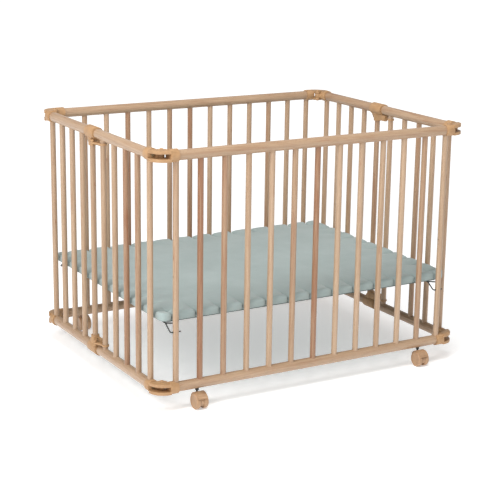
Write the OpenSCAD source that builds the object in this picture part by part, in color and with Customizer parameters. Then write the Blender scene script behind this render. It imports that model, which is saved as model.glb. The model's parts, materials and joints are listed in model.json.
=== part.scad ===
// Folding beech playpen on four twin-wheel casters.
// Long panels run along X at the front (-Y) and the back (+Y). Each short side is
// two half panels that hinge at the corners and in the middle and fold inwards.
// The origin is on the floor, under the middle of the pen.

/* [Frame] */
// Distance between the rail axes of the two short sides
pen_length = 1006; // [700:1:1400]
// Distance between the rail axes of the two long panels
pen_depth = 773; // [560:1:1100]
// Height of the top rail axis over the bottom rail axis
rail_rise = 653; // [520:1:800]
// Diameter of the rails
rail_d = 29; // [26:0.5:32]
// Diameter of the upright bars
bar_d = 17; // [14:0.5:19]
// Number of bars in a long panel
long_bars = 13; // [9:1:15]
// Number of bars in a half of a short side
half_bars = 5; // [4:1:6]
// Corner axis to the first bar of a long panel
long_end = 53; // [50:1:60]
// Corner axis to the first bar of a short side
short_end = 50; // [49:1:56]
// Fold line of a short side to the bars beside it
fold_gap = 36.5; // [36:0.5:44]
// Depth that a bar end sits in its rail
bar_seat = 8; // [4:0.5:10]

/* [Corner fittings] */
// Hinge pin inwards from each of the two rail axes that cross at a corner
pivot_in = 20; // [20:0.5:26]
// Wall of the sleeve around a rail end
sleeve_wall = 3.5; // [2.5:0.5:4]
// Length of the sleeve around a rail end
sleeve_len = 26; // [20:1:30]
// Corner axis to the near end of the sleeve
sleeve_start = 31; // [31:0.5:34]
// Thickness of one fork plate
plate_t = 8.5; // [6:0.5:9]
// Height of the open slot between the fork plates
slot_h = 14; // [12:0.5:16]
// Overhang of the fork plates outside the rail axes
plate_out = 16; // [14:0.5:18]
// Diameter of the eye around a hinge pin
eye_d = 18; // [16:0.5:19]
// Diameter of the hinge pin
pin_d = 8; // [6:0.5:9]
// Height of the domed pin head over the fork
pin_head_h = 3; // [1.5:0.5:4]
// Diameter of the screw at the end of a short-side rail
screw_d = 4; // [3:0.5:5]
// Depth of the screw in the rail
screw_seat = 15; // [10:1:20]
// Thickness of the screw head
screw_head_h = 2.6; // [1.5:0.1:3]
// Diameter of the screw head at the end of a short-side rail
screw_head_d = 10; // [8:0.5:11]

/* [Middle hinges] */
// Fold pivot outside the short-side rail axis
fold_out = 17; // [17:0.5:20]
// Wall of the tee fitting around a rail
tee_wall = 4; // [3:0.5:4.5]
// Tee arm length from the bar to the rear end of its sleeve
tee_back = 22; // [18:1:26]
// Length of the tee's arm over the bar, from the rail axis
tee_drop = 38; // [36:1:46]
// Depth of the tee fitting ahead of its rail end
tee_stop = 3; // [2:0.5:6]
// Gap between the two halves at the fold line
butt_gap = 2; // [1.5:0.5:4]
// Diameter of the fold hinge barrel
barrel_d = 10; // [9:0.5:11]
// Diameter of the fold hinge pin
barrel_pin_d = 5; // [4:0.5:5.5]
// Wall of the clasp around the last bar of the front half
clasp_wall = 2.5; // [2:0.5:3]
// Height of one barrel knuckle
barrel_h = 5.5; // [5:0.5:7]
// Width of the ribbed latch block
latch_w = 12; // [10:0.5:14]

/* [Floor insert] */
// Height of the low hole over the bottom rail axis
hole_low = 50; // [40:1:70]
// Height of the middle hole, which holds the floor
hole_mid = 160; // [110:1:200]
// Height of the top hole
hole_high = 318; // [250:1:400]
// Hook wire up to the underside of the floor board
board_rise = 22; // [18:0.5:30]
// Thickness of the floor board
board_t = 6; // [4:0.5:9]
// Thickness of the padded insert over the board
pad_t = 25; // [18:0.5:40]
// Gap between the bars and the padded edge
pad_gap = 6; // [4:0.5:12]
// Inset of the board from the padded edge
board_inset = 14; // [8:1:24]
// Corner radius of the pad
pad_corner = 22; // [10:1:40]
// Diameter of the hook wire
wire_d = 4; // [3:0.25:5]
// Wire tip standing out past its bar
wire_tip = 7; // [4:0.5:12]
// Wire length on the near side of its bar
wire_lead = 8; // [6:0.5:12]

/* [Casters] */
// Corner axis to the swivel pin along a long panel
caster_in = 120; // [105:1:200]
// Wheel diameter
wheel_d = 46; // [40:0.5:46]
// Width of one wheel
wheel_w = 13; // [10:0.5:14]
// Gap between the two wheels
wheel_gap = 11; // [10:0.5:14]
// Swivel pin to wheel axle
trail = 15; // [12:0.5:18]
// Wall of the hood over the wheels
hood_wall = 2.5; // [2:0.25:3]
// Gap between the wheel tread and the hood
hood_gap = 0.8; // [0.6:0.1:1]
// Wheel standing out past each side of the hood
rim_show = 3.5; // [2:0.5:5]
// Angle that the hood covers on each side of the top of the wheels
hood_angle = 64; // [50:1:80]
// Step down from the wheel tread to the web between the wheels
web_step = 2; // [1:0.5:4]
// Diameter of the swivel stem
stem_d = 11; // [9:0.5:12]
// Depth of the stem in the rail
stem_seat = 10; // [8:0.5:12]
// Diameter of the wheel axle
axle_d = 5; // [4:0.5:6]
// Diameter of the swivel pin inside the hood
swivel_pin_d = 6; // [5:0.5:8]
// Gap between the top of the hood and the shoulder of the stem
neck_gap = 1.2; // [0.8:0.1:2]
// Stem showing between its shoulder and the rail
stem_show = 5; // [3:0.5:12]

/* [Clearances] */
// Gap per side between a fixed piece and its seat
fit_gap = 0.05; // [0.02:0.01:0.1]
// Gap per side around a turning pin
turn_gap = 0.08; // [0.05:0.01:0.1]
// Gap between faces that pass each other
pass_gap = 0.5; // [0.3:0.1:0.8]
// Gap per side around the hook wire in its hole
wire_gap = 0.4; // [0.2:0.1:0.6]

/* [Hidden] */
$fn = 48;
rail_r = rail_d / 2;
bar_r = bar_d / 2;
sleeve_r = rail_r + sleeve_wall;
tee_r = rail_r + tee_wall;
half_x = pen_length / 2;
half_y = pen_depth / 2;
long_pitch = (pen_length - 2 * long_end) / (long_bars - 1);
half_pitch = (half_y - short_end - fold_gap) / (half_bars - 1);
rail_start = sleeve_start + 3;
sleeve_lap = 2;
plate_gap = 2.5;
tongue_h = slot_h - 2 * pass_gap;
fork_r = slot_h / 2 + plate_t;
pad_x = half_x - bar_r - pad_gap;
pad_y = half_y - bar_r - pad_gap;
wheel_r = wheel_d / 2;
hood_in_r = wheel_r + hood_gap;
hood_r = hood_in_r + hood_wall;
web_w = wheel_gap - 2 * pass_gap;
pair_w = wheel_gap + 2 * wheel_w;
caster_x = half_x - caster_in;
neck_z = wheel_r + hood_r + neck_gap;
low_z = neck_z + stem_show + rail_r;
top_z = low_z + rail_rise;
hook_z = low_z + hole_mid;
board_z = hook_z + board_rise;
pad_z = board_z + board_t + fit_gap;
screw_socket_r = screw_head_d / 5;
rail_color = "#C9AC8B";
bar_color = "#D0AC85";
fitting_color = "#D9AE78";
screw_color = "#8C7A5E";
caster_color = "#CFA57C";
stem_color = "#262626";

// A cylinder along X from x = a to x = b
module rod_x(r, a, b) {
  translate([a, 0, 0]) rotate([0, 90, 0]) cylinder(r = r, h = b - a);
}

// A cylinder along Y from y = a to y = b
module rod_y(r, a, b) {
  translate([0, b, 0]) rotate([90, 0, 0]) cylinder(r = r, h = b - a);
}

// ---- long panels; side is -1 for the front and 1 for the back ----

function long_x(i) = -half_x + long_end + i * long_pitch;

// up is 1 for the bottom rail, whose bars stand on it, and -1 for the top rail
module long_rail(side, z, up) {
  translate([0, side * half_y, z])
    difference() {
      rod_x(rail_r, -half_x + rail_start, half_x - rail_start);
      for (i = [0 : long_bars - 1])
        translate([long_x(i), 0, up > 0 ? rail_r - bar_seat : -rail_r - 5])
          cylinder(r = bar_r + fit_gap, h = bar_seat + 5);
      if (up > 0)
        for (s = [-1, 1])
          translate([s * caster_x, 0, -rail_r - 1])
            cylinder(r = stem_d / 2 + fit_gap, h = stem_seat + 1);
    }
}

// Bars stand between the rails, the outer two drilled for the floor's hooks
module long_bar_row(side) {
  z0 = low_z + rail_r - bar_seat;
  z1 = top_z - rail_r + bar_seat;
  for (i = [0 : long_bars - 1])
    translate([long_x(i), side * half_y, 0])
      difference() {
        translate([0, 0, z0]) cylinder(r = bar_r, h = z1 - z0);
        if (i == 0 || i == long_bars - 1)
          for (h = [hole_low, hole_mid, hole_high])
            translate([0, 0, low_z + h])
              rod_x(wire_d / 2 + wire_gap, -bar_r - 1, bar_r + 1);
      }
}

// Children are placed at a corner, with +X and +Y pointing into the pen.
// sx is -1 for left, sy is -1 for front.
module at_corner(sx, sy) {
  translate([sx * half_x, sy * half_y, 0])
    mirror([sx > 0 ? 1 : 0, 0, 0])
      mirror([0, sy > 0 ? 1 : 0, 0])
        children();
}

// Children are placed at the height of a rail, turned over for the bottom rail
module at_rail(top) {
  translate([0, 0, top ? top_z : low_z])
    mirror([0, 0, top ? 0 : 1])
      children();
}

// Plan of a fork plate, swept round the corner from one sleeve to the other
module fork_plan() {
  difference() {
    union() {
      intersection() {
        translate([sleeve_start, sleeve_start]) circle(r = sleeve_start + plate_out);
        union() {
          translate([-plate_out, -plate_out])
            square([sleeve_start + sleeve_lap + plate_out, pivot_in + plate_out]);
          translate([-plate_out, -plate_out])
            square([pivot_in + plate_out, sleeve_start - plate_gap + plate_out]);
        }
      }
      translate([pivot_in, pivot_in]) circle(d = eye_d);
    }
    translate([pivot_in, pivot_in]) circle(r = pin_d / 2 + fit_gap);
  }
}

// A corner fork and the sleeve that holds it to the long rail
module fork() {
  difference() {
    union() {
      for (z = [slot_h / 2, -fork_r])
        translate([0, 0, z]) linear_extrude(plate_t) fork_plan();
      rod_x(sleeve_r, sleeve_start, sleeve_start + sleeve_len);
    }
    rod_x(rail_r + fit_gap, rail_start, sleeve_start + sleeve_len + 1);
    translate([long_end, 0, -sleeve_r - 1]) cylinder(r = bar_r + pass_gap, h = sleeve_r + 1);
  }
}

module fork_pair(side, top) {
  for (sx = [-1, 1])
    at_corner(sx, side) at_rail(top) fork();
}

// Hinge pins, each with a domed head over the fork
module pin_row(side) {
  r = pin_d / 2;
  for (sx = [-1, 1], z = [low_z, top_z])
    at_corner(sx, side)
      translate([pivot_in, pivot_in, z]) {
        translate([0, 0, -fork_r - 2]) cylinder(r = r, h = 2 * fork_r + 2);
        translate([0, 0, fork_r + fit_gap]) cylinder(r1 = r + 1.6, r2 = r - 0.6, h = pin_head_h);
        translate([0, 0, fork_r - 1]) cylinder(r = r, h = 2);
      }
}

// ---- half panels of the short sides, all drawn at a corner ----

function half_v(i) = short_end + i * half_pitch;

// stop is the distance from the rail's end to the fold line
module half_rail(up, stop) {
  difference() {
    rod_y(rail_r, rail_start, half_y - stop);
    for (i = [0 : half_bars - 1])
      translate([0, half_v(i), up > 0 ? rail_r - bar_seat : -rail_r - 5])
        cylinder(r = bar_r + fit_gap, h = bar_seat + 5);
    rod_y(screw_d / 2 + fit_gap, rail_start - 1, rail_start + screw_seat + 1);
  }
}

module half_bar_row() {
  z0 = low_z + rail_r - bar_seat;
  for (i = [0 : half_bars - 1])
    translate([0, half_v(i), z0])
      cylinder(r = bar_r, h = rail_rise - 2 * (rail_r - bar_seat));
}

// The tongue that turns in the fork, and its sleeve on the short rail
module knuckle() {
  difference() {
    union() {
      translate([0, 0, -tongue_h / 2])
        linear_extrude(tongue_h) {
          translate([pivot_in, pivot_in]) circle(d = eye_d - 1);
          translate([5, pivot_in]) square([pivot_in - 5, sleeve_start + 2 - pivot_in]);
        }
      rod_y(sleeve_r, sleeve_start, sleeve_start + sleeve_len);
    }
    translate([pivot_in, pivot_in, -tongue_h]) cylinder(r = pin_d / 2 + turn_gap, h = 2 * tongue_h);
    rod_y(rail_r + fit_gap, rail_start, sleeve_start + sleeve_len + 1);
    rod_y(screw_d / 2 + fit_gap, sleeve_start - 1, rail_start + 1);
    translate([0, half_v(0), -sleeve_r - 1]) cylinder(r = bar_r + pass_gap, h = sleeve_r + 1);
  }
}

// Screws that hold the knuckles to the ends of the short rails
module screw_pair() {
  y0 = sleeve_start - screw_head_h - fit_gap;
  for (z = [low_z, top_z])
    translate([0, 0, z])
      difference() {
        union() {
          rod_y(screw_head_d / 2, y0, sleeve_start - fit_gap);
          rod_y(screw_d / 2, sleeve_start - 1, rail_start + screw_seat);
        }
        rod_y(screw_socket_r, y0 - 1, y0 + screw_head_h / 2);
      }
}

// A straight link with round ends between two points
module link(p, q, w) {
  d = q - p;
  translate(p) circle(d = w);
  translate(q) circle(d = w);
  translate(p) rotate(atan2(d.y, d.x)) translate([0, -w / 2]) square([norm(d), w]);
}

fold_pin = [-fold_out, half_y];
last_bar = [0, half_y - fold_gap];
knuckle_z = [for (k = [1 : 3]) -rail_r - 1.5 - k * barrel_h - (k - 1) * pass_gap];

// Tee fitting on the rear half, with the outer two fold knuckles and their pin
module tee() {
  arm_r = bar_r + tee_wall;
  back = last_bar.y - tee_back;
  difference() {
    union() {
      rod_y(tee_r, back, half_y - butt_gap / 2);
      translate([0, last_bar.y, -tee_drop]) cylinder(r = arm_r, h = tee_drop);
      translate([-arm_r + 2, 0, 0])
        rotate([90, 0, 90])
          linear_extrude(2 * arm_r - 4)
            polygon([[back + 2, -8], [back + 2, -tee_r + 4], [last_bar.y - arm_r + 4, 8 - tee_drop],
                     [last_bar.y, 8 - tee_drop], [last_bar.y, -8]]);
      translate([-1, last_bar.y, -rail_r - 19]) cube([latch_w - 2, fold_gap + 16, 18]);
      for (k = [0, 2])
        translate([0, 0, knuckle_z[k]]) linear_extrude(barrel_h) link(fold_pin, last_bar, barrel_d);
      translate([fold_pin.x, fold_pin.y, knuckle_z[2]])
        cylinder(d = barrel_pin_d, h = knuckle_z[0] - knuckle_z[2] + 1);
    }
    rod_y(rail_r + fit_gap, back - 1, half_y - butt_gap / 2 - tee_stop);
    rod_y(rail_r + pass_gap, half_y - butt_gap / 2, half_y + fold_gap);
    translate([0, last_bar.y, -tee_drop - 1]) cylinder(r = bar_r + fit_gap, h = tee_drop + 1);
    for (i = [0 : 2])
      translate([-2, half_y - 3 + i * 6, -rail_r - 14]) cube([2.2, 2, 12]);
  }
}

// Fold knuckle on the front half, clasped to its last bar under the rail
module fold_hinge() {
  difference() {
    union() {
      translate([0, last_bar.y, knuckle_z[1]]) cylinder(r = bar_r + clasp_wall, h = barrel_h);
      translate([0, 0, knuckle_z[1]]) linear_extrude(barrel_h) link(fold_pin, last_bar, barrel_d);
    }
    translate([0, last_bar.y, -tee_drop]) cylinder(r = bar_r + fit_gap, h = tee_drop);
    translate([fold_pin.x, fold_pin.y, knuckle_z[1] - 1])
      cylinder(r = barrel_pin_d / 2 + turn_gap, h = barrel_h + 2);
  }
}

// ---- floor insert ----

module rounded_slab(x, y, z, h, r) {
  translate([0, 0, z])
    linear_extrude(h)
      union() {
        square([2 * (x - r), 2 * y], center = true);
        square([2 * x, 2 * (y - r)], center = true);
        for (a = [-1, 1], b = [-1, 1]) translate([a * (x - r), b * (y - r)]) circle(r = r);
      }
}

// A straight piece of wire from p to q
module wire(p, q) {
  d = q - p;
  n = norm(d);
  translate(p)
    rotate([0, acos(d.z / n), atan2(d.y, d.x)])
      cylinder(d = wire_d, h = n);
}

// Each wire hook lies under the board, drops to its hole and points to +X
module hook(sx, sy) {
  bx = sx * (half_x - long_end);
  x0 = bx - bar_r - wire_lead;
  y0 = sy * half_y;
  y1 = sy * (half_y - 30);
  under = board_z - wire_d / 2 - 0.2;
  wire([bx + bar_r + wire_tip, y0, hook_z], [x0, y0, hook_z]);
  wire([x0, y0, hook_z], [x0, y1, under]);
  wire([x0, y1, under], [x0, y1 - sy * 90, under]);
  wire([x0, y1, under], [bx + 4, sy * (half_y - bar_r - 7), under]);
  for (c = [[x0, y0, hook_z], [x0, y1, under]])
    translate(c) sphere(d = wire_d + 0.3);
}

// ---- casters ----

// The wheels trail outwards, away from the pen
module caster_at(sx, sy) {
  translate([sx * caster_x, sy * half_y, 0])
    mirror([0, sy > 0 ? 1 : 0, 0])
      children();
}

module caster_stem() {
  translate([0, 0, neck_z]) cylinder(d = stem_d, h = low_z - rail_r + stem_seat - neck_z - 0.2);
  translate([0, 0, wheel_r + 4]) cylinder(d = swivel_pin_d, h = neck_z - wheel_r - 3);
}

// A sector of a disc, covering the hood's angle on each side of the top
module hood_sector(r) {
  reach = 2 * r;
  side = reach * tan(hood_angle);
  intersection() {
    circle(r = r);
    polygon([[0, 0], [side, reach], [-side, reach]]);
  }
}

module caster_hood() {
  difference() {
    translate([0, -trail, wheel_r])
      rotate([90, 0, 90]) {
        translate([0, 0, rim_show - pair_w / 2])
          linear_extrude(pair_w - 2 * rim_show)
            difference() {
              hood_sector(hood_r);
              circle(r = hood_in_r);
            }
        translate([0, 0, -web_w / 2])
          linear_extrude(web_w) {
            hood_sector(hood_r - 1);
            difference() {
              circle(r = wheel_r - web_step);
              translate([-wheel_r, -2 * wheel_r]) square([wheel_d, 2 * wheel_r - axle_d - 4]);
            }
          }
      }
    translate([0, 0, wheel_r + 2]) cylinder(r = swivel_pin_d / 2 + turn_gap, h = hood_r);
    translate([0, -trail, wheel_r]) rod_x(axle_d / 2 + turn_gap, -web_w, web_w);
  }
}

module wheel_disc() {
  c = 2;
  rotate_extrude()
    polygon([[0, 0.8], [wheel_r - 6, 0.8], [wheel_r - 5, 0], [wheel_r - c, 0], [wheel_r, c],
             [wheel_r, wheel_w - c], [wheel_r - c, wheel_w], [0, wheel_w]]);
}

module caster_wheels() {
  translate([0, -trail, wheel_r]) {
    for (s = [-1, 1])
      mirror([s > 0 ? 1 : 0, 0, 0])
        translate([-pair_w / 2, 0, 0]) rotate([0, 90, 0]) wheel_disc();
    rod_x(axle_d / 2, -pair_w / 2 + 3, pair_w / 2 - 3);
  }
}

// ---- sub-parts ----

module panel_top_rail(side) { color(rail_color) long_rail(side, top_z, -1); }
module panel_bottom_rail(side) { color(rail_color) long_rail(side, low_z, 1); }
module panel_bars(side) { color(bar_color) long_bar_row(side); }
module panel_forks(side, top) { color(fitting_color) fork_pair(side, top); }
module panel_pins(side) { color(fitting_color) pin_row(side); }

// The rear half's rails end inside its tee fittings, the front half's at the fold line
module side_rail(sx, sy, top) {
  stop = sy > 0 ? butt_gap / 2 + tee_stop : butt_gap / 2;
  color(rail_color)
    at_corner(sx, sy) translate([0, 0, top ? top_z : low_z]) half_rail(top ? -1 : 1, stop);
}

module side_bars(sx, sy) { color(bar_color) at_corner(sx, sy) half_bar_row(); }
module side_knuckle(sx, sy, top) { color(fitting_color) at_corner(sx, sy) at_rail(top) knuckle(); }
module side_screws(sx, sy) { color(screw_color) at_corner(sx, sy) screw_pair(); }
module side_hinge(sx, top) { color(fitting_color) at_corner(sx, -1) at_rail(top) fold_hinge(); }
module side_tee(sx, top) { color(fitting_color) at_corner(sx, 1) at_rail(top) tee(); }

module stem(sx, sy) { color(stem_color) caster_at(sx, sy) caster_stem(); }
module hood(sx, sy) { color(caster_color) caster_at(sx, sy) caster_hood(); }
module wheels(sx, sy) { color(caster_color) caster_at(sx, sy) caster_wheels(); }

module insert_pad() { color("#A5B4B2") rounded_slab(pad_x, pad_y, pad_z, pad_t, pad_corner); }

module insert_board() {
  color("#8E9C9A")
    rounded_slab(pad_x - board_inset, pad_y - board_inset, board_z, board_t, pad_corner);
}

module insert_hooks() {
  color("#3A3A3A")
    for (sx = [-1, 1], sy = [-1, 1]) hook(sx, sy);
}

panel_top_rail(-1);  // front_top_rail
panel_bottom_rail(-1);  // front_bottom_rail
panel_bars(-1);  // front_bars
panel_forks(-1, true);  // front_forks_top
panel_forks(-1, false);  // front_forks_bottom
panel_pins(-1);  // front_pins
panel_top_rail(1);  // back_top_rail
panel_bottom_rail(1);  // back_bottom_rail
panel_bars(1);  // back_bars
panel_forks(1, true);  // back_forks_top
panel_forks(1, false);  // back_forks_bottom
panel_pins(1);  // back_pins
side_rail(-1, -1, true);  // left_front_top_rail
side_rail(-1, -1, false);  // left_front_bottom_rail
side_bars(-1, -1);  // left_front_bars
side_knuckle(-1, -1, true);  // left_front_knuckle_top
side_knuckle(-1, -1, false);  // left_front_knuckle_bottom
side_screws(-1, -1);  // left_front_screws
side_hinge(-1, true);  // left_front_hinge_top
side_hinge(-1, false);  // left_front_hinge_bottom
side_rail(-1, 1, true);  // left_rear_top_rail
side_rail(-1, 1, false);  // left_rear_bottom_rail
side_bars(-1, 1);  // left_rear_bars
side_knuckle(-1, 1, true);  // left_rear_knuckle_top
side_knuckle(-1, 1, false);  // left_rear_knuckle_bottom
side_screws(-1, 1);  // left_rear_screws
side_tee(-1, true);  // left_rear_tee_top
side_tee(-1, false);  // left_rear_tee_bottom
side_rail(1, -1, true);  // right_front_top_rail
side_rail(1, -1, false);  // right_front_bottom_rail
side_bars(1, -1);  // right_front_bars
side_knuckle(1, -1, true);  // right_front_knuckle_top
side_knuckle(1, -1, false);  // right_front_knuckle_bottom
side_screws(1, -1);  // right_front_screws
side_hinge(1, true);  // right_front_hinge_top
side_hinge(1, false);  // right_front_hinge_bottom
side_rail(1, 1, true);  // right_rear_top_rail
side_rail(1, 1, false);  // right_rear_bottom_rail
side_bars(1, 1);  // right_rear_bars
side_knuckle(1, 1, true);  // right_rear_knuckle_top
side_knuckle(1, 1, false);  // right_rear_knuckle_bottom
side_screws(1, 1);  // right_rear_screws
side_tee(1, true);  // right_rear_tee_top
side_tee(1, false);  // right_rear_tee_bottom
insert_pad();
insert_board();
insert_hooks();
stem(-1, -1);  // caster_front_left_stem
hood(-1, -1);  // caster_front_left_hood
wheels(-1, -1);  // caster_front_left_wheels
stem(1, -1);  // caster_front_right_stem
hood(1, -1);  // caster_front_right_hood
wheels(1, -1);  // caster_front_right_wheels
stem(-1, 1);  // caster_back_left_stem
hood(-1, 1);  // caster_back_left_hood
wheels(-1, 1);  // caster_back_left_wheels
stem(1, 1);  // caster_back_right_stem
hood(1, 1);  // caster_back_right_hood
wheels(1, 1);  // caster_back_right_wheels
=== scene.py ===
import json
import math

import bmesh
import bpy
import numpy as np
from mathutils import Matrix, Vector, noise


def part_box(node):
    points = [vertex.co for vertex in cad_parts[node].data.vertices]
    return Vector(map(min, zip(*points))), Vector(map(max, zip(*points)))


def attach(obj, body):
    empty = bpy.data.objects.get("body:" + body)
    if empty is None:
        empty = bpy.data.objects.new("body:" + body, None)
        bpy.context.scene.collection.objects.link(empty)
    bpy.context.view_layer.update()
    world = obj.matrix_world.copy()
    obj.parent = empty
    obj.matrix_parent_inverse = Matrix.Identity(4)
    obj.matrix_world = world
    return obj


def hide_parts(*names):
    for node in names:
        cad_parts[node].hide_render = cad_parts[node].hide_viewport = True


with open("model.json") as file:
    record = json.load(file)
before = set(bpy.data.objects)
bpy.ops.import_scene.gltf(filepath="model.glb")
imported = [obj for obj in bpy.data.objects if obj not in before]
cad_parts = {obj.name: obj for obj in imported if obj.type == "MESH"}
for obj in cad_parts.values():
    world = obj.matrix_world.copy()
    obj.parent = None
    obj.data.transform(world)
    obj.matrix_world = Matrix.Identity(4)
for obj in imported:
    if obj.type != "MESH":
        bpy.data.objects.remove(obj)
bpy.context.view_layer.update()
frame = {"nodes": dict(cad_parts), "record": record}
nodes = frame["nodes"]
bodyOf = {node: body
          for body, members in frame["record"]["behaviour"]["bodies"].items()
          for node in members}
mm = 0.001
print("frame loaded,", len(nodes), "parts")


def hexColour(code):  # from an sRGB hex code to linear RGBA
    parts = [int(code[i:i + 2], 16) / 255 for i in (0, 2, 4)]
    linear = [c / 12.92 if c <= 0.04045 else ((c + 0.055) / 1.055) ** 2.4 for c in parts]
    return (*linear, 1.0)


def addNode(tree, kind, settings=None, inputs=None):
    node = tree.nodes.new(kind)
    for name, value in (settings or {}).items():
        setattr(node, name, value)
    for key, value in (inputs or {}).items():
        if isinstance(value, bpy.types.NodeSocket):
            tree.links.new(value, node.inputs[key])
        else:
            node.inputs[key].default_value = value
    return node


def fillRamp(node, stops, mode="LINEAR"):
    ramp = node.color_ramp
    ramp.interpolation = mode
    while len(ramp.elements) > 1:
        ramp.elements.remove(ramp.elements[-1])
    for i, (place, colour) in enumerate(stops):
        element = ramp.elements[0] if i == 0 else ramp.elements.new(place)
        element.position = place
        element.color = hexColour(colour) if isinstance(colour, str) else (colour,) * 3 + (1,)


def newMaterial(name, **shaderInputs):
    material = bpy.data.materials.new(name)
    material.use_nodes = True
    tree = material.node_tree
    tree.nodes.clear()
    shader = addNode(tree, "ShaderNodeBsdfPrincipled", inputs=shaderInputs)
    output = tree.nodes.new("ShaderNodeOutputMaterial")
    tree.links.new(shader.outputs["BSDF"], output.inputs["Surface"])
    place = addNode(tree, "ShaderNodeTexCoord").outputs["Object"]
    return material, tree, shader, place


def addNoise(tree, place, scale, detail, **more):
    return addNode(tree, "ShaderNodeTexNoise",
                   inputs={"Vector": place, "Scale": scale, "Detail": detail, **more}).outputs["Fac"]


def remap(tree, value, target, source=(0, 1), curve="LINEAR"):
    return addNode(tree, "ShaderNodeMapRange", {"interpolation_type": curve},
                   {"Value": value, "From Min": source[0], "From Max": source[1],
                    "To Min": target[0], "To Max": target[1]}).outputs[0]


def addTint(tree, shader, value, stops):
    tint = addNode(tree, "ShaderNodeValToRGB", inputs={0: value})
    fillRamp(tint, stops)
    tree.links.new(tint.outputs["Color"], shader.inputs["Base Color"])


def addBump(tree, shader, height, strength, depth):
    bump = addNode(tree, "ShaderNodeBump",
                   inputs={"Height": height, "Strength": strength, "Distance": depth})
    tree.links.new(bump.outputs["Normal"], shader.inputs["Normal"])


def smoothFaces(mesh):
    mesh.polygons.foreach_set("use_smooth", [True] * len(mesh.polygons))


def meshObject(name, points, faces):
    mesh = bpy.data.meshes.new(name)
    mesh.from_pydata([tuple(p) for p in points], [], [tuple(f) for f in faces])
    mesh.update()
    piece = bpy.data.objects.new(name, mesh)
    bpy.context.scene.collection.objects.link(piece)
    return piece


def bakeModifiers(piece):  # the evaluated shape becomes the piece's own plain mesh
    graph = bpy.context.evaluated_depsgraph_get()
    mesh = bpy.data.meshes.new_from_object(piece.evaluated_get(graph))
    if piece.type == "MESH":
        piece.modifiers.clear()
        piece.data = mesh
        mesh.name = piece.name
        return piece
    made = bpy.data.objects.new(piece.name, mesh)
    name = piece.name
    bpy.data.objects.remove(piece)
    bpy.context.scene.collection.objects.link(made)
    made.name = name
    return made


cameraView = {
    "place": (-2.12603, -3.63993, 1.42722),
    "turn": 30.395,  # degrees to the right of +Y
    "tilt": 14.741,  # degrees below the horizon
    "roll": 0.864,
    "lens": 100.69,  # mm
    "sensor": 36,  # mm
}


def makeCamera(view):
    data = bpy.data.cameras.new("camera")
    data.lens = view["lens"]
    data.sensor_width = view["sensor"]
    camera = bpy.data.objects.new("camera", data)
    bpy.context.scene.collection.objects.link(camera)
    bpy.context.scene.camera = camera
    turn, tilt, roll = (math.radians(view[k]) for k in ("turn", "tilt", "roll"))
    ahead = Vector((math.sin(turn) * math.cos(tilt), math.cos(turn) * math.cos(tilt), -math.sin(tilt)))
    right = Vector((math.cos(turn), -math.sin(turn), 0))
    up = right.cross(ahead)
    level = right * math.cos(roll) + up * math.sin(roll)
    upright = up * math.cos(roll) - right * math.sin(roll)
    place = Vector(view["place"])
    camera.matrix_world = Matrix(
        [(level[i], upright[i], -ahead[i], place[i]) for i in range(3)] + [(0, 0, 0, 1)])


studio = {
    "skyStrength": 0.46,
    "horizonStrength": 1.05,  # a white backdrop up to a low height, dimmer walls over it
    "horizonDims": (0.1, 0.3),  # sine of the height where it starts and stops dimming
    "key": {"place": (-3.0, -1.6, 2.6), "size": 1.8, "power": 85},
    "top": {"place": (-0.6, -0.9, 3.2), "size": 1.3, "power": 58},
    "aim": (0, 0, 0.3),  # both lamps face this point
    "floorSize": 60.0,
    "paper": "F7F7F7",
    "paperRoughness": 0.9,
    "paperShine": 0.1,
    "paintedGlow": (0.36, 0.64),  # painted light: the paper glows by itself, a little near the pen, which lightens the shadow under it, and more further out, so that the far floor turns white
    "glowReach": (1.6, 4.0),
}


def makeBackdrop(values):
    world = bpy.data.worlds.new("softWhiteStudio")
    bpy.context.scene.world = world
    world.use_nodes = True
    tree = world.node_tree
    backdrop = tree.nodes["Background"]
    backdrop.inputs["Color"].default_value = (1, 1, 1, 1)
    facing = addNode(tree, "ShaderNodeTexCoord").outputs["Generated"]
    height = addNode(tree, "ShaderNodeSeparateXYZ", inputs={0: facing}).outputs["Z"]
    level = remap(tree, height, (values["horizonStrength"], values["skyStrength"]),
                  values["horizonDims"], "SMOOTHSTEP")
    tree.links.new(level, backdrop.inputs["Strength"])


def makeLamp(name, lamp, aim):
    data = bpy.data.lights.new(name, "AREA")
    data.size = lamp["size"]
    data.energy = lamp["power"]
    light = bpy.data.objects.new(name, data)
    bpy.context.scene.collection.objects.link(light)
    light.location = lamp["place"]
    light.rotation_euler = (Vector(aim) - light.location).to_track_quat("-Z", "Y").to_euler()


# matt white paper, so that the pen stands on a soft shadow with no shine round it
def makeFloor(values):
    half = values["floorSize"] / 2
    floor = meshObject("floor", [(-half, -half, 0), (half, -half, 0), (half, half, 0), (-half, half, 0)],
                       [(0, 1, 2, 3)])
    material, tree, shader, place = newMaterial("mattPaperSweep", Roughness=values["paperRoughness"])
    shader.inputs["Base Color"].default_value = hexColour(values["paper"])
    shader.inputs["Specular IOR Level"].default_value = values["paperShine"]
    shader.inputs["Emission Color"].default_value = (1, 1, 1, 1)
    # painted light: emission on the paper that grows with distance from the middle, standing in for fill
    # light under the pen and for a brighter far floor
    away = addNode(tree, "ShaderNodeVectorMath", {"operation": "LENGTH"}, {0: place})
    paintedGlow = remap(tree, away.outputs["Value"], values["paintedGlow"], values["glowReach"], "SMOOTHSTEP")
    tree.links.new(paintedGlow, shader.inputs["Emission Strength"])
    floor.data.materials.append(material)


makeCamera(cameraView)
makeBackdrop(studio)
for lampName in ("key", "top"):
    makeLamp(lampName, studio[lampName], studio["aim"])
makeFloor(studio)
bpy.context.scene.view_settings.view_transform = "Standard"
print("camera and studio ready")


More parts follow.
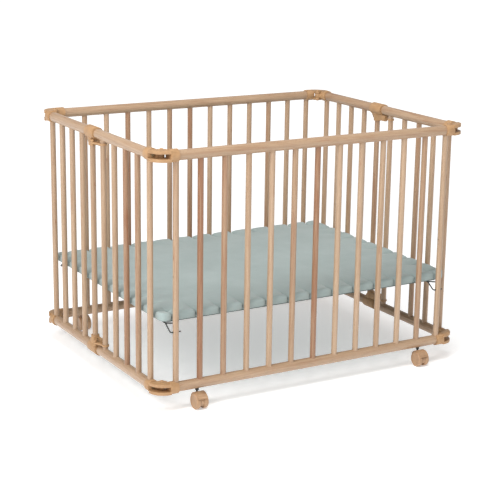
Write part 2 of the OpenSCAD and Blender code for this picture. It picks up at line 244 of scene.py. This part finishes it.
beech = {
    "light": "B3987D",
    "middle": "A3866A",
    "red": "8A5E3F",
    "bandWidth": 9 * mm,  # slow change of tone within a bar
    "bandLength": 240 * mm,
    "bandRange": (0.3, 0.7),
    "wander": 0.24,  # how far the bands move the tone
    "grainWidth": 1.6 * mm,  # distance between the fine dark lines along a bar
    "grainLength": 60 * mm,
    "streak": "C79A74",
    "streakRange": (0.52, 0.72),
    "streakDepth": 0.5,
    "fleck": "A87550",  # beech's short dark rays
    "fleckWidth": 0.5 * mm,
    "fleckLength": 3.0 * mm,
    "fleckSpread": 3.2,  # one fleck stands on a patch this many times its size
    "fleckRange": (0.10, 0.24),
    "fleckDepth": 0.42,
    "heart": "8C5B38",  # brown streaks of heartwood, here and there
    "heartWidth": 7 * mm,
    "heartLength": 130 * mm,
    "heartRange": (0.665, 0.72),
    "heartDepth": 0.75,
    "boardShift": 3.17,  # from the grain of one bar to the grain of the next
    "polish": 0.34,  # roughness between the grain lines, and on them
    "dull": 0.52,
    "lacquer": 0.35,
    "lacquerRoughness": 0.22,
    "lacquerIndex": 1.5,
    "grainRelief": 0.25,
    "grainDepth": 0.25 * mm,
}


# each bar is cut from its own board: it takes its tone from the list, and a grain of its own
def barBoards(tree, place, tones, axis, first, pitch, seed):
    xyz = addNode(tree, "ShaderNodeSeparateXYZ", inputs={0: place})
    share = addNode(tree, "ShaderNodeMath", {"operation": "MULTIPLY_ADD"},
                    {0: xyz.outputs[axis], 1: 1 / (pitch * len(tones)),
                     2: 0.5 / len(tones) - first / (pitch * len(tones))})
    steps = addNode(tree, "ShaderNodeValToRGB", inputs={0: share.outputs[0]})
    fillRamp(steps, [(i / len(tones), t) for i, t in enumerate(tones)], "CONSTANT")
    whole = addNode(tree, "ShaderNodeMath", {"operation": "MULTIPLY"},
                    {0: share.outputs[0], 1: len(tones)})
    index = addNode(tree, "ShaderNodeMath", {"operation": "FLOOR"}, {0: whole.outputs[0]})
    shift = addNode(tree, "ShaderNodeMath", {"operation": "MULTIPLY_ADD"},
                    {0: index.outputs[0], 1: beech["boardShift"], 2: seed})
    moved = addNode(tree, "ShaderNodeCombineXYZ", inputs={i: shift.outputs[0] for i in range(3)})
    return steps.outputs["Color"], moved.outputs[0]


# lacquered beech, turned round: the lacquer gives a soft long highlight, and the wood a
# pink-tan ground with fine streaks along the grain and short dark flecks
def beechWood(name, along, tones=None, toneAxis="X", first=0.0, pitch=1.0, tone=0.35, seed=0.0):
    material, tree, shader, place = newMaterial(name)
    shader.inputs["Coat Weight"].default_value = beech["lacquer"]
    shader.inputs["Coat Roughness"].default_value = beech["lacquerRoughness"]
    shader.inputs["IOR"].default_value = beech["lacquerIndex"]
    toneValue, shift = tone, (seed, seed * 1.7, seed * 0.6)
    if tones:
        toneValue, shift = barBoards(tree, place, tones, toneAxis, first, pitch, seed)
    place = addNode(tree, "ShaderNodeVectorMath", {"operation": "ADD"}, {0: place, 1: shift}).outputs[0]

    def stretched(kind, spread=1):
        scale = [1 / (beech[kind + "Width"] * spread)] * 3
        scale["XYZ".index(along)] = 1 / (beech[kind + "Length"] * spread)
        return addNode(tree, "ShaderNodeMapping", inputs={"Vector": place, "Scale": scale}).outputs[0]

    streaks = addNoise(tree, stretched("grain"), 1.0, 5.0, Roughness=0.62, Distortion=0.6)
    bands = addNoise(tree, stretched("band"), 1.0, 3.0, Distortion=1.4)
    heart = addNoise(tree, stretched("heart"), 1.0, 2.0, Distortion=2.2)
    flecks = addNode(tree, "ShaderNodeTexVoronoi", {"feature": "F1"},
                     {"Vector": stretched("fleck", beech["fleckSpread"]), "Scale": 1.0}).outputs["Distance"]
    # the tone moves the whole bar between light and red, and the bands wander round it
    wander = remap(tree, bands, (-beech["wander"], beech["wander"]), beech["bandRange"])
    mixed = addNode(tree, "ShaderNodeMath", {"operation": "ADD", "use_clamp": True},
                    {0: toneValue, 1: wander})
    ground = addNode(tree, "ShaderNodeValToRGB", inputs={0: mixed.outputs[0]})
    fillRamp(ground, [(0.0, beech["light"]), (0.45, beech["middle"]), (1.0, beech["red"])])
    colour = ground.outputs["Color"]
    layers = (("streak", "MULTIPLY", streaks, (0, beech["streakDepth"])),
              ("fleck", "MULTIPLY", flecks, (beech["fleckDepth"], 0)),
              ("heart", "MIX", heart, (0, beech["heartDepth"])))
    for kind, mode, value, depth in layers:
        mask = remap(tree, value, depth, beech[kind + "Range"])
        colour = addNode(tree, "ShaderNodeMix", {"data_type": "RGBA", "blend_type": mode},
                         {"Factor": mask, 6: colour, 7: hexColour(beech[kind])}).outputs[2]
    tree.links.new(colour, shader.inputs["Base Color"])
    tree.links.new(remap(tree, streaks, (beech["polish"], beech["dull"])), shader.inputs["Roughness"])
    addBump(tree, shader, streaks, beech["grainRelief"], beech["grainDepth"])
    return material


nylon = {
    "index": 1.53,
    "cloudsPerMetre": 55.0,  # slow change of shade in the skin
    "polish": 0.07,  # dark clouds are this much smoother,
    "dull": 0.08,  # and pale ones this much rougher
    "gritSize": 0.45 * mm,
    "gritRelief": 0.22,
    "gritDepth": 0.06 * mm,
}


# injection-moulded nylon in a beech tone: a spark-eroded mould leaves a fine matt grain, so
# highlights are broad and soft
def mouldedPlastic(name, colour, shade, roughness=0.5):
    material, tree, shader, place = newMaterial(name)
    shader.inputs["IOR"].default_value = nylon["index"]
    cloud = addNoise(tree, place, nylon["cloudsPerMetre"], 3.0)
    addTint(tree, shader, cloud, [(0.3, shade), (0.7, colour)])
    rough = remap(tree, cloud, (roughness - nylon["polish"], roughness + nylon["dull"]))
    tree.links.new(rough, shader.inputs["Roughness"])
    grit = addNoise(tree, place, 1 / nylon["gritSize"], 2.0)
    addBump(tree, shader, grit, nylon["gritRelief"], nylon["gritDepth"])
    return material


zinc = {
    "tints": [(0.3, "8F7B58"), (0.55, "A89A7C"), (0.75, "9C8F86")],
    "cloudsPerMetre": 240.0,
    "roughness": 0.34,
    "relief": 0.15,
    "depth": 0.05 * mm,
}


# yellow passivated steel: a dull metal with a faint cloudy colour
def zincSteel(name):
    material, tree, shader, place = newMaterial(name, Roughness=zinc["roughness"], Metallic=1.0)
    cloud = addNoise(tree, place, zinc["cloudsPerMetre"], 4.0)
    addTint(tree, shader, cloud, zinc["tints"])
    addBump(tree, shader, cloud, zinc["relief"], zinc["depth"])
    return material


dippedCoat = {"scuffsPerMetre": 180.0, "scuffRange": (0.45, 0.75), "roughness": (0.25, 0.6)}


# spring wire dipped in a dark plastic coat: glossy, with dull scuffs
def coatedWire(name, colour, worn):
    material, tree, shader, place = newMaterial(name)
    scuff = addNoise(tree, place, dippedCoat["scuffsPerMetre"], 4.0)
    addTint(tree, shader, scuff, list(zip(dippedCoat["scuffRange"], (colour, worn))))
    tree.links.new(remap(tree, scuff, dippedCoat["roughness"]), shader.inputs["Roughness"])
    return material


cotton = {
    "roughness": 0.88,
    "fuzzSheen": 0.5,
    "shine": 0.25,
    "sway": 1.6 * mm,  # how far a thread wanders from its straight line
    "waveTurns": 20,  # the wave texture turns this many radians per unit at a scale of 1
    "weaveShare": 0.22,  # of the weave in the colour, beside the mottle
    "fuzzShare": 0.4,  # of the fuzz in the relief, beside the weave
    "relief": 0.4,
    "depth": 0.2 * mm,
}


# plain-woven cotton, stone washed: matt, with a soft sheen where it turns away and a faint
# mottle; the threads are drawn at twice their real width, so that they show
def wovenCotton(name, light, dark, thread, sheen=0.25):
    material, tree, shader, place = newMaterial(name, Roughness=cotton["roughness"])
    shader.inputs["Sheen Weight"].default_value = sheen
    shader.inputs["Sheen Roughness"].default_value = cotton["fuzzSheen"]
    shader.inputs["Specular IOR Level"].default_value = cotton["shine"]
    sway = addNode(tree, "ShaderNodeTexNoise", inputs={"Vector": place, "Scale": 35.0, "Detail": 2.0})
    bent = addNode(tree, "ShaderNodeVectorMath", {"operation": "MULTIPLY_ADD"},
                   {0: sway.outputs["Color"], 1: (cotton["sway"],) * 3, 2: place})
    waves = [addNode(tree, "ShaderNodeTexWave", {"bands_direction": axis, "wave_profile": "SIN"},
                     {"Vector": bent.outputs[0], "Scale": 1 / (thread * cotton["waveTurns"]) * math.pi,
                      "Distortion": 0.0}).outputs["Fac"] for axis in ("X", "Y")]
    weave = addNode(tree, "ShaderNodeMath", {"operation": "MULTIPLY"}, {0: waves[0], 1: waves[1]})
    mottle = addNoise(tree, place, 9.0, 6.0, Roughness=0.6)
    blend = addNode(tree, "ShaderNodeMath", {"operation": "MULTIPLY_ADD"},
                    {0: weave.outputs[0], 1: cotton["weaveShare"], 2: mottle})
    addTint(tree, shader, blend.outputs[0], [(0.28, dark), (0.8, light)])
    fuzz = addNoise(tree, place, 900.0, 2.0)
    height = addNode(tree, "ShaderNodeMath", {"operation": "MULTIPLY_ADD"},
                     {0: fuzz, 1: cotton["fuzzShare"], 2: weave.outputs[0]})
    addBump(tree, shader, height.outputs[0], cotton["relief"], cotton["depth"])
    return material


# tone of each bar, 0 for pale sapwood and 1 for red heartwood, from left to right or front to back
barTones = {
    "front": [0.35, 0.92, 0.62, 0.25, 0.22, 0.5, 0.85, 0.12, 0.18, 0.3, 0.1, 0.55, 0.2],
    "back": [0.3, 0.45, 0.2, 0.8, 0.3, 0.55, 0.7, 0.25, 0.4, 0.3, 0.6, 0.35, 0.4],
    "left": [0.25, 0.55, 0.8, 0.3, 0.35, 0.4, 0.3, 0.3, 0.25, 0.3],
    "right": [0.3, 0.2, 0.5, 0.35, 0.25, 0.6, 0.3, 0.4, 0.2, 0.35],
}


# first bar's axis, spacing and radius, from the box of a row of bars
def rowOf(nodeName, axis, count):
    i = "XYZ".index(axis)
    low, high = (corner[i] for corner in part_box(nodeName))
    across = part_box(nodeName)[1][1 - i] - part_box(nodeName)[0][1 - i]
    first = low + across / 2
    return first, (high - low - across) / (count - 1), across / 2


halfCount = len(barTones["left"]) // 2  # bars of a half panel
panelFirst, panelPitch, barRadius = rowOf("front_bars", "X", len(barTones["front"]))
halfFirst, halfPitch, _ = rowOf("left_rear_bars", "Y", halfCount)
sideFirst = -halfCount * halfPitch + halfPitch / 2  # where the tones of a side's bars start

finish = {
    "frontBars": beechWood("beechFrontBars", "Z", barTones["front"], "X", panelFirst, panelPitch, seed=1.3),
    "backBars": beechWood("beechBackBars", "Z", barTones["back"], "X", panelFirst, panelPitch, seed=7.9),
    "leftBars": beechWood("beechLeftBars", "Z", barTones["left"], "Y", sideFirst, halfPitch, seed=3.7),
    "rightBars": beechWood("beechRightBars", "Z", barTones["right"], "Y", sideFirst, halfPitch, seed=5.1),
    "fitting": mouldedPlastic("mouldedNylonTan", "B08A62", "A07B55"),
    "caster": mouldedPlastic("mouldedNylonCaster", "AD8A69", "9D7B5C", 0.42),
    "stem": mouldedPlastic("mouldedNylonBlack", "2B2B2B", "1F1F1F", 0.45),
    "screw": zincSteel("zincPlatedSteel"),
    "wire": coatedWire("dippedSpringWire", "2B2D2D", "4A4C4B"),
    "cover": wovenCotton("washedCottonSage", "9DAAA8", "8F9D9B", 1.1 * mm),
    "board": wovenCotton("cottonBoardCloth", "6F7D7B", "5C6967", 1.3 * mm, 0.1),
}
railSeeds = {"front_top": 0.4, "front_bottom": 2.1, "back_top": 4.4, "back_bottom": 6.2}
for panel, seed in railSeeds.items():
    finish[panel] = beechWood("beechRail_" + panel, "X", tone=0.36, seed=seed)
for i, side in enumerate(("left_front", "left_rear", "right_front", "right_rear")):
    finish[side] = beechWood("beechRail_" + side, "Y", tone=0.3 + 0.07 * i, seed=8.3 + 1.7 * i)


def paint(piece, material):
    piece.data.materials.clear()
    piece.data.materials.append(material)


for name, node in nodes.items():
    if name.endswith("_bars"):
        side = name.split("_")[0]
        paint(node, finish[side + "Bars"])
    elif name.endswith("_rail"):
        key = "_".join(name.split("_")[:2])
        paint(node, finish[key])
    elif name.endswith("_screws"):
        paint(node, finish["screw"])
    elif name.endswith("_stem"):
        paint(node, finish["stem"])
    elif name == "insert_board":
        paint(node, finish["board"])
    elif name.endswith(("_hood", "_wheels")):
        paint(node, finish["caster"])
    elif name not in ("insert_pad", "insert_hooks"):
        paint(node, finish["fitting"])
print("materials ready")


mouldedEdges = {"forks": 1.1 * mm, "knuckle": 1.0 * mm, "tee": 1.0 * mm, "hinge": 0.7 * mm,
                "pins": 0.5 * mm, "hood": 0.6 * mm, "wheels": 0.6 * mm}


mouldEdge = {
    "weld": 0.004 * mm,
    "flatWithin": 0.6,  # degrees between faces that are joined as one
    "roundPast": 32,  # degrees at an edge that the mould rounds
    "creasePast": 34,
    "segments": 2,
}


# a moulded copy of a fitting, its sharp edges rounded as they leave a mould
def softenEdges(name, width):
    source = nodes[name]
    piece = bpy.data.objects.new(name + "_moulded", source.data.copy())
    bpy.context.scene.collection.objects.link(piece)
    work = bmesh.new()
    work.from_mesh(piece.data)
    bmesh.ops.remove_doubles(work, verts=work.verts, dist=mouldEdge["weld"])
    bmesh.ops.dissolve_limit(work, angle_limit=math.radians(mouldEdge["flatWithin"]),
                             verts=work.verts, edges=work.edges)
    work.to_mesh(piece.data)
    work.free()
    bevel = piece.modifiers.new("edges", "BEVEL")
    bevel.width = width
    bevel.segments = mouldEdge["segments"]
    bevel.limit_method = "ANGLE"
    bevel.angle_limit = math.radians(mouldEdge["roundPast"])
    bevel.miter_outer = "MITER_ARC"
    bakeModifiers(piece)
    smoothFaces(piece.data)
    piece.data.set_sharp_from_angle(angle=math.radians(mouldEdge["creasePast"]))
    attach(piece, bodyOf[name])
    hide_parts(name)
    return piece


for name in sorted(nodes):
    for word, width in mouldedEdges.items():
        if word in name.split("_"):
            softenEdges(name, width)
print("moulded fittings ready")


pad = {
    "topRadius": 9 * mm,  # rounding of the upper edge
    "lowRadius": 5 * mm,
    "cornerRadius": 24 * mm,
    "lumpRound": 7.0 * mm,  # rounded end of a lump, seen from above
    "slitDepth": 12.0 * mm,  # the seam pulls in further between two lumps
    "slitHalf": 2.0 * mm,
    "notchReach": 24 * mm,
    "creaseDepth": 15.0 * mm,  # depth of a seam in the top, at the edge
    "creaseHalf": 3.0 * mm,
    "creaseWiden": 0.2,  # it widens as it runs inwards
    "creaseReach": 34 * mm,
    "puff": 1.5 * mm,  # crown of a lump between two seams
    "puffReach": 50 * mm,
    "wave": 0.3 * mm,
    "wavesPerMetre": 16,
    "creaseSharp": 1.25,
    "creaseLead": 4 * mm,  # a crease keeps its full depth this far in,
    "creaseRise": 5 * mm,  # and starts shallow at the very edge
    "creaseStart": 0.25,
    "cornerPower": 5,  # how closely the rounded edge keeps to the corner
    "seamShiftX": -2.5 * mm,  # the cover sits a little to one side of the bars
    "seamShiftY": 5.0 * mm,
}
padLow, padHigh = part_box("insert_pad")
padHalfX, padHalfY = padHigh.x, padHigh.y
padFlat = padHigh.z - pad["puff"]
seamsX = [panelFirst + i * panelPitch + pad["seamShiftX"] for i in range(len(barTones["front"]))]
seamsY = [s * (halfFirst + i * halfPitch) + pad["seamShiftY"] for s in (-1, 1) for i in range(halfCount)]
seamSteps = [0, 0.8, 1.6, 2.6, 4.0, 5.8, 8.0, 10.8, 14.5, 19.5, 25.5, 32.0]  # mm, close where it bends
padMesh = {
    "rimGap": 1.0 * mm,
    "rimSteps": 8,
    "leastStep": 0.12 * mm,
    "wallShares": (0.33, 0.67, 1.0),
    "lowSteps": 5,
    "weld": 0.02 * mm,
}


# distance to the nearest seam, for an array of positions along an edge
def nearestSeam(values, seams):
    return np.abs(values[..., None] - np.array(sorted(seams))).min(-1)


# how far a quarter round of this radius has fallen away, zero beyond the radius
def roundedDrop(distance, radius):
    inside = np.clip(1 - distance / radius, 0, 1)
    return radius * (1 - np.sqrt(1 - inside * inside))


# grid lines close together at the seams and round the rim
def gridLines(half, seams):
    lines = {round(s + sign * step * mm, 6) for s in seams for step in seamSteps for sign in (-1, 1)}
    rim = half - pad["topRadius"]
    lines = {v for v in lines if abs(v) < rim - padMesh["rimGap"]}
    for k in range(padMesh["rimSteps"] + 1):
        inset = pad["topRadius"] * (1 - math.cos(math.pi / 2 * k / padMesh["rimSteps"]))
        lines |= {half - inset, inset - half}
    ordered = sorted(lines)
    kept = [ordered[0]]
    for value in ordered[1:]:
        if value - kept[-1] > padMesh["leastStep"]:
            kept.append(value)
    return np.array(kept)


# a point of the square grid, moved to its place in the notched, round-cornered plan
def padPlan(x, y):
    inX, inY = padHalfX - np.abs(x), padHalfY - np.abs(y)

    def pull(along, seams, inset):
        near = nearestSeam(along, seams)
        notch = roundedDrop(near, pad["lumpRound"])
        slit = pad["slitDepth"] * np.exp(-(near / pad["slitHalf"]) ** 2)
        return (notch + slit) * np.exp(-inset / pad["notchReach"])

    newX = np.sign(x) * (np.abs(x) - pull(y, seamsY, inX))
    newY = np.sign(y) * (np.abs(y) - pull(x, seamsX, inY))
    r = pad["cornerRadius"]
    a = np.clip((np.abs(newX) - (padHalfX - r)) / r, 0, 1)
    b = np.clip((np.abs(newY) - (padHalfY - r)) / r, 0, 1)
    both = (a > 0) & (b > 0)
    roundX = np.sign(x) * (padHalfX - r + r * a * np.sqrt(1 - b * b / 2))
    roundY = np.sign(y) * (padHalfY - r + r * b * np.sqrt(1 - a * a / 2))
    return np.where(both, roundX, newX), np.where(both, roundY, newY)


# height of the cover: flat, rounded at the edge, with a crease running in from each seam
def padTop(x, y):
    inX, inY = padHalfX - np.abs(x), padHalfY - np.abs(y)
    power = pad["cornerPower"]
    least = 1e-9  # keeps the power finite on the edge itself
    near = (np.maximum(inX, least) ** -power + np.maximum(inY, least) ** -power) ** (-1 / power)
    height = padFlat - roundedDrop(near, pad["topRadius"])
    for along, seams, inset in ((x, seamsX, inY), (y, seamsY, inX)):
        off = nearestSeam(along, seams)
        half = pad["creaseHalf"] + pad["creaseWiden"] * inset
        crease = np.exp(-(off / half) ** pad["creaseSharp"])
        fade = np.exp(-np.maximum(inset - pad["creaseLead"], 0) / pad["creaseReach"])
        start = np.clip(inset / pad["creaseRise"], pad["creaseStart"], 1)
        height = height - pad["creaseDepth"] * crease * fade * start
        between = np.clip(off / (panelPitch / 2), 0, 1)
        crown = np.sin(between * math.pi / 2) ** 2
        height = height + pad["puff"] * crown * np.exp(-inset / pad["puffReach"])
    return np.minimum(height, padHigh.z)


# inset and height of each ring of the side, from the rim down to the underside
def sideRings(rimZ):
    wallFoot = padLow.z + pad["lowRadius"]
    rings = [(0, rimZ + (wallFoot - rimZ) * share) for share in padMesh["wallShares"]]
    for k in range(1, padMesh["lowSteps"] + 1):
        turn = math.pi / 2 * k / padMesh["lowSteps"]
        rings.append((pad["lowRadius"] * (1 - math.cos(turn)),
                      np.full(len(rimZ), wallFoot - pad["lowRadius"] * math.sin(turn))))
    return rings


def makeCushion():
    linesX, linesY = gridLines(padHalfX, seamsX), gridLines(padHalfY, seamsY)
    countX, countY = len(linesX), len(linesY)
    gridX, gridY = np.meshgrid(linesX, linesY, indexing="ij")
    planX, planY = padPlan(gridX, gridY)
    points = np.stack([planX, planY, padTop(gridX, gridY)], -1).reshape(-1, 3)
    for p in points:
        spot = Vector((p[0] * pad["wavesPerMetre"], p[1] * pad["wavesPerMetre"], 3.1))
        p[2] += pad["wave"] * noise.fractal(spot, 0.8, 2.1, 3)

    def at(i, j):
        return i * countY + j

    faces = [(at(i, j), at(i + 1, j), at(i + 1, j + 1), at(i, j + 1))
             for i in range(countX - 1) for j in range(countY - 1)]
    rim = ([at(i, 0) for i in range(countX)] + [at(countX - 1, j) for j in range(1, countY)]
           + [at(i, countY - 1) for i in range(countX - 2, -1, -1)]
           + [at(0, j) for j in range(countY - 2, 0, -1)])
    rimX, rimY = gridX.reshape(-1)[rim], gridY.reshape(-1)[rim]
    rows = [rim]
    allPoints = [points]
    start = len(points)
    for inset, z in sideRings(points[rim][:, 2]):
        x = np.clip(rimX, inset - padHalfX, padHalfX - inset)
        y = np.clip(rimY, inset - padHalfY, padHalfY - inset)
        allPoints.append(np.stack([*padPlan(x, y), z], -1))
        rows.append(list(range(start, start + len(rim))))
        start += len(rim)
    for upper, lower in zip(rows, rows[1:]):
        for k in range(len(rim)):
            n = (k + 1) % len(rim)
            faces.append((upper[n], upper[k], lower[k], lower[n]))
    faces.append(tuple(reversed(rows[-1])))
    piece = meshObject("insertCushion", np.concatenate(allPoints), faces)
    work = bmesh.new()
    work.from_mesh(piece.data)
    bmesh.ops.remove_doubles(work, verts=work.verts, dist=padMesh["weld"])
    bmesh.ops.recalc_face_normals(work, faces=work.faces)
    work.to_mesh(piece.data)
    work.free()
    smoothFaces(piece.data)
    return piece


cushion = makeCushion()
paint(cushion, finish["cover"])
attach(cushion, "insert")
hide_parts("insert_pad")
print("cushion ready,", len(cushion.data.polygons), "faces")


hookWire = {
    "diameter": 4.0 * mm,
    "bend": 6.0 * mm,
    "lead": 8.0 * mm,  # past the bar on the side that the wire comes from
    "tip": 7.0 * mm,  # past the bar on the far side
    "slant": 30.0 * mm,
    "run": 90.0 * mm,  # along the board
    "boardGap": 0.2 * mm,
    "footPast": 4 * mm,  # the short foot ends this far past the bar's axis,
    "footClear": 7 * mm,  # and this far inside the bar's face
    "bendSteps": 7,
    "roundSteps": 14,
}


def makeGeometryTree(name):
    tree = bpy.data.node_groups.new(name, "GeometryNodeTree")
    tree.interface.new_socket("Geometry", in_out="INPUT", socket_type="NodeSocketGeometry")
    tree.interface.new_socket("Geometry", in_out="OUTPUT", socket_type="NodeSocketGeometry")
    return tree, tree.nodes.new("NodeGroupInput"), tree.nodes.new("NodeGroupOutput")


def setInput(modifier, name, value):
    socket = next(s for s in modifier.node_group.interface.items_tree
                  if s.item_type == "SOCKET" and s.in_out == "INPUT" and s.name == name)
    modifier[socket.identifier] = value


def bentWireTree(material):
    tree, source, result = makeGeometryTree("bentWire")
    for label in ("Diameter", "Bend Radius"):
        tree.interface.new_socket(label, in_out="INPUT", socket_type="NodeSocketFloat")
    rounded = addNode(tree, "GeometryNodeFilletCurve", {"mode": "POLY"},
                      {"Curve": source.outputs["Geometry"], "Count": hookWire["bendSteps"],
                       "Radius": source.outputs["Bend Radius"], "Limit Radius": True})
    half = addNode(tree, "ShaderNodeMath", {"operation": "MULTIPLY"},
                   {0: source.outputs["Diameter"], 1: 0.5})
    ring = addNode(tree, "GeometryNodeCurvePrimitiveCircle",
                   inputs={"Resolution": hookWire["roundSteps"], "Radius": half.outputs[0]})
    tube = addNode(tree, "GeometryNodeCurveToMesh",
                   inputs={"Curve": rounded.outputs[0], "Profile Curve": ring.outputs[0],
                           "Fill Caps": True})
    real = addNode(tree, "GeometryNodeRealizeInstances", inputs={0: tube.outputs[0]})
    coat = addNode(tree, "GeometryNodeSetMaterial",
                   inputs={"Geometry": real.outputs[0], "Material": material})
    tree.links.new(coat.outputs[0], result.inputs[0])
    return tree


# the wire of each corner: through its bar to +X, in under the board, and a short foot
def hookRoutes():
    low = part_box("insert_hooks")[0]
    hookZ = low.z + hookWire["diameter"] / 2
    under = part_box("insert_board")[0].z - hookWire["diameter"] / 2 - hookWire["boardGap"]
    barY = (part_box("front_bars")[0].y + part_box("front_bars")[1].y) / 2
    routes = []
    for sx in (-1, 1):
        for sy in (-1, 1):
            barX = sx * abs(panelFirst)
            outY = sy * abs(barY)
            inY = outY - sy * hookWire["slant"]
            leadX = barX - barRadius - hookWire["lead"]
            routes.append([(barX + barRadius + hookWire["tip"], outY, hookZ), (leadX, outY, hookZ),
                           (leadX, inY, under), (leadX, inY - sy * hookWire["run"], under)])
            footY = outY - sy * (barRadius + hookWire["footClear"])
            routes.append([(leadX, inY, under), (barX + hookWire["footPast"], footY, under)])
    return routes


def makeHooks():
    data = bpy.data.curves.new("insertHooks", "CURVE")
    data.dimensions = "3D"
    for route in hookRoutes():
        spline = data.splines.new("POLY")
        spline.points.add(len(route) - 1)
        for point, place in zip(spline.points, route):
            point.co = (*place, 1)
    piece = bpy.data.objects.new("insertHooks", data)
    bpy.context.scene.collection.objects.link(piece)
    modifier = piece.modifiers.new("wire", "NODES")
    modifier.node_group = bentWireTree(finish["wire"])
    setInput(modifier, "Diameter", hookWire["diameter"])
    setInput(modifier, "Bend Radius", hookWire["bend"])
    bpy.context.view_layer.update()
    piece = bakeModifiers(piece)
    smoothFaces(piece.data)
    return piece


hooks = makeHooks()
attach(hooks, "insert")
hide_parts("insert_hooks")
print("hooks ready,", len(hooks.data.polygons), "faces")
